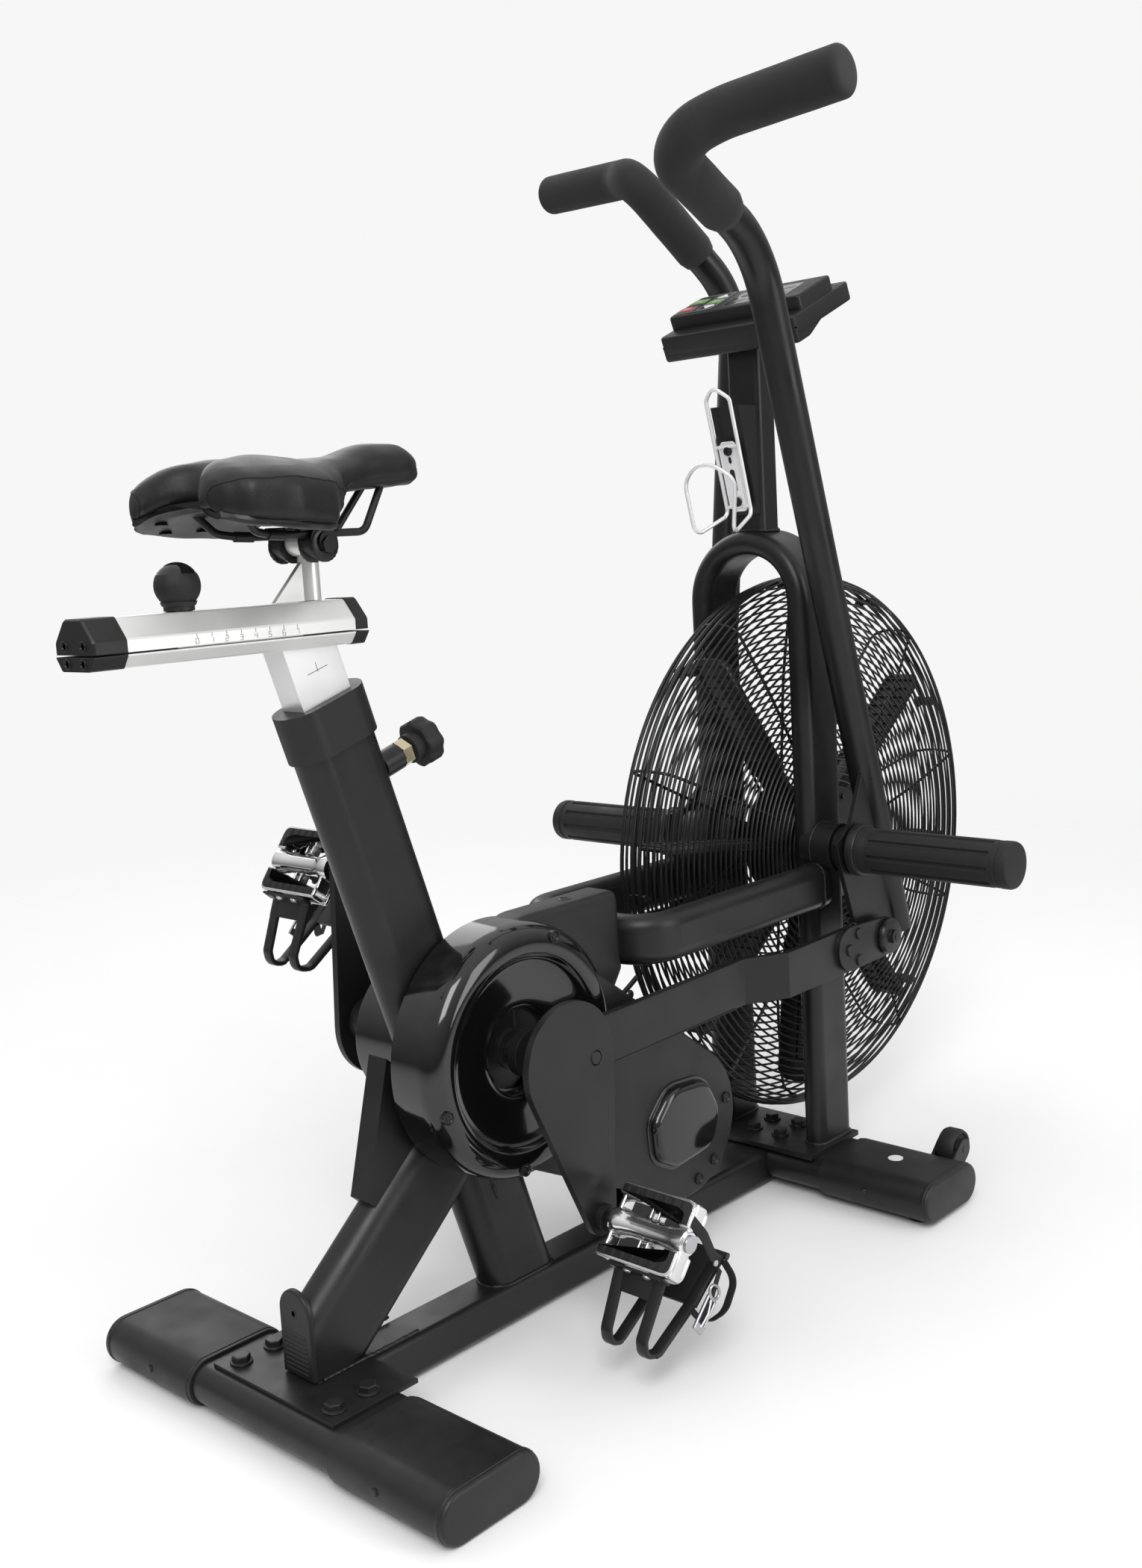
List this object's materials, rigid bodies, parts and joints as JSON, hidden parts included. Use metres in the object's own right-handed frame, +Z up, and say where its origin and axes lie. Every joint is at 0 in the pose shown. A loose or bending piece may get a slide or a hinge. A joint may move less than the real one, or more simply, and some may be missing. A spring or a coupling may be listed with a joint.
{
  "type": "air bike",
  "caption": "Fan-resistance exercise bike with swinging handle arms linked to the cranks, toe-clip pedals, foot pegs, adjustable saddle, small console and bottle cage.",
  "frame": {"origin": "on the floor, under the middle of the machine", "axes": "+X forward towards the fan, +Y to the rider's left, +Z up"},
  "size_m": [1.337, 0.6862, 1.279],
  "materials": {
    "frame_paint": "satin black powder coat",
    "cover_gloss": "gloss black moulding",
    "black_plastic": "textured black plastic",
    "white_plastic": "satin white plastic",
    "green_plastic": "satin green plastic",
    "red_plastic": "satin red plastic",
    "display_glass": "dark display window",
    "steel": "zinc-plated steel",
    "silver": "anodised aluminium",
    "foam": "grey-black foam",
    "black_rubber": "moulded black rubber",
    "saddle_skin": "soft black synthetic leather",
    "brass": "plated brass nut"
  },
  "bodies": {
    "frame": {"main_frame": "frame_paint", "front_frame": "frame_paint", "rear_stabiliser": "frame_paint", "front_stabiliser": "frame_paint", "stabiliser_sleeves": "black_plastic", "stabiliser_bolts": "steel", "strut_end_cap": "black_plastic", "seat_collar": "black_plastic", "pop_pin_nut": "brass", "cover_right": "cover_gloss", "cover_left": "cover_gloss", "cover_screws": "steel", "bearings": "steel", "drive_chain": "steel", "fan_belt": "black_rubber", "fan_axle": "steel", "guard_right": "frame_paint", "guard_left": "frame_paint", "guard_clips": "steel", "peg_axles": "steel", "foot_pegs": "black_plastic", "bottle_bracket": "frame_paint", "bottle_cage": "silver", "console_housing": "black_plastic", "console_display": "display_glass"},
    "levelling_foot_right": {"foot_right": "black_rubber"},
    "levelling_foot_left": {"foot_left": "black_rubber"},
    "transport_wheel_right": {"wheel_right": "black_plastic"},
    "transport_wheel_left": {"wheel_left": "black_plastic"},
    "pop_pin": {"pop_pin": "black_plastic"},
    "seat_column": {"seat_post": "silver", "slider_rail": "silver"},
    "seat_carriage": {"slider_carriage": "silver", "slider_caps": "black_plastic", "saddle_mount": "steel"},
    "slide_clamp_knob": {"clamp_knob": "cover_gloss"},
    "saddle": {"saddle_clamp": "steel", "saddle_frame": "black_plastic", "saddle": "saddle_skin"},
    "crank": {"crank_axle": "steel", "chainring": "steel", "crank_plates": "frame_paint", "pedal_spindles": "steel"},
    "pedal_right": {"pedal_right": "silver", "toe_clip_right": "black_plastic"},
    "pedal_left": {"pedal_left": "silver", "toe_clip_left": "black_plastic"},
    "jackshaft": {"jackshaft": "steel"},
    "fan": {"fan_wheel": "black_plastic"},
    "arm_right": {"arm_right": "frame_paint", "grip_right": "foam"},
    "arm_left": {"arm_left": "frame_paint", "grip_left": "foam"},
    "link_right": {"link_right": "frame_paint"},
    "link_left": {"link_left": "frame_paint"},
    "key_up": {"key_up": "white_plastic"},
    "key_down": {"key_down": "white_plastic"},
    "key_green_left": {"key_green_left": "green_plastic"},
    "key_green_right": {"key_green_right": "green_plastic"},
    "key_red": {"key_red": "red_plastic"}
  },
  "joints": [
    {"name": "crank_spin", "type": "hinge", "parent": "frame", "child": "crank", "pos_m": [-0.267, 0, 0.31], "axis": [0, 1, 0], "continuous": true},
    {"name": "jackshaft_spin", "type": "hinge", "parent": "frame", "child": "jackshaft", "pos_m": [-0.03, 0, 0.163], "axis": [0, 1, 0], "continuous": true},
    {"name": "fan_spin", "type": "hinge", "parent": "frame", "child": "fan", "pos_m": [0.336, 0, 0.409], "axis": [0, 1, 0], "continuous": true},
    {"name": "pedal_right_spin", "type": "hinge", "parent": "crank", "child": "pedal_right", "pos_m": [-0.23504, 0, 0.14405], "axis": [0, 1, 0], "continuous": true},
    {"name": "pedal_left_spin", "type": "hinge", "parent": "crank", "child": "pedal_left", "pos_m": [-0.29896, 0, 0.47595], "axis": [0, 1, 0], "continuous": true},
    {"name": "arm_right_swing", "type": "hinge", "parent": "frame", "child": "arm_right", "pos_m": [0.247, 0, 0.425], "axis": [0, 1, 0], "range_deg": [-0.4, 24.4]},
    {"name": "arm_left_swing", "type": "hinge", "parent": "frame", "child": "arm_left", "pos_m": [0.247, 0, 0.425], "axis": [0, 1, 0], "range_deg": [-24.4, 0.4]},
    {"name": "link_right_pivot", "type": "hinge", "parent": "arm_right", "child": "link_right", "pos_m": [0.29098, 0, 0.31238], "axis": [0, 1, 0], "range_deg": [-24.4, 0.4]},
    {"name": "link_left_pivot", "type": "hinge", "parent": "arm_left", "child": "link_left", "pos_m": [0.24137, 0, 0.30423], "axis": [0, 1, 0], "range_deg": [-0.4, 24.4]},
    {"name": "seat_height", "type": "slide", "parent": "frame", "child": "seat_column", "axis": [-0.3032, 0, 0.9529], "range_m": [-0.03, 0.1]},
    {"name": "seat_fore_aft", "type": "slide", "parent": "seat_column", "child": "seat_carriage", "axis": [1, 0, 0], "range_m": [-0.03, 0.04]},
    {"name": "saddle_tilt", "type": "hinge", "parent": "seat_carriage", "child": "saddle", "pos_m": [-0.428, 0, 0.815], "axis": [0, 1, 0], "range_deg": [-10, 10]},
    {"name": "clamp_knob_turn", "type": "hinge", "parent": "seat_carriage", "child": "slide_clamp_knob", "pos_m": [-0.563, 0, 0.784], "axis": [0, 0, 1], "range_deg": [-360, 0]},
    {"name": "pop_pin_pull", "type": "slide", "parent": "frame", "child": "pop_pin", "axis": [0.9529, 0, 0.3032], "range_m": [0, 0.012]},
    {"name": "wheel_right_spin", "type": "hinge", "parent": "frame", "child": "transport_wheel_right", "pos_m": [0.319, 0, 0.051], "axis": [0, 1, 0], "continuous": true},
    {"name": "wheel_left_spin", "type": "hinge", "parent": "frame", "child": "transport_wheel_left", "pos_m": [0.319, 0, 0.051], "axis": [0, 1, 0], "continuous": true},
    {"name": "foot_right_turn", "type": "hinge", "parent": "frame", "child": "levelling_foot_right", "pos_m": [0.223, -0.225, 0], "axis": [0, 0, 1], "continuous": true},
    {"name": "foot_left_turn", "type": "hinge", "parent": "frame", "child": "levelling_foot_left", "pos_m": [0.223, 0.225, 0], "axis": [0, 0, 1], "continuous": true},
    {"name": "key_up_press", "type": "slide", "parent": "frame", "child": "key_up", "axis": [0.3859, 0, -0.9225], "range_m": [0, 0.0015]},
    {"name": "key_down_press", "type": "slide", "parent": "frame", "child": "key_down", "axis": [0.3859, 0, -0.9225], "range_m": [0, 0.0015]},
    {"name": "key_green_left_press", "type": "slide", "parent": "frame", "child": "key_green_left", "axis": [0.3859, 0, -0.9225], "range_m": [0, 0.0015]},
    {"name": "key_green_right_press", "type": "slide", "parent": "frame", "child": "key_green_right", "axis": [0.3859, 0, -0.9225], "range_m": [0, 0.0015]},
    {"name": "key_red_press", "type": "slide", "parent": "frame", "child": "key_red", "axis": [0.3859, 0, -0.9225], "range_m": [0, 0.0015]}
  ],
  "couplings": [
    {"joint": "jackshaft_spin", "follows": "crank_spin", "ratio": 3.0357},
    {"joint": "fan_spin", "follows": "crank_spin", "ratio": 9.9351},
    {"joint": "arm_left_swing", "follows": "arm_right_swing", "ratio": -1},
    {"joint": "link_right_pivot", "follows": "arm_right_swing", "ratio": -1},
    {"joint": "link_left_pivot", "follows": "arm_right_swing", "ratio": 1}
  ]
}
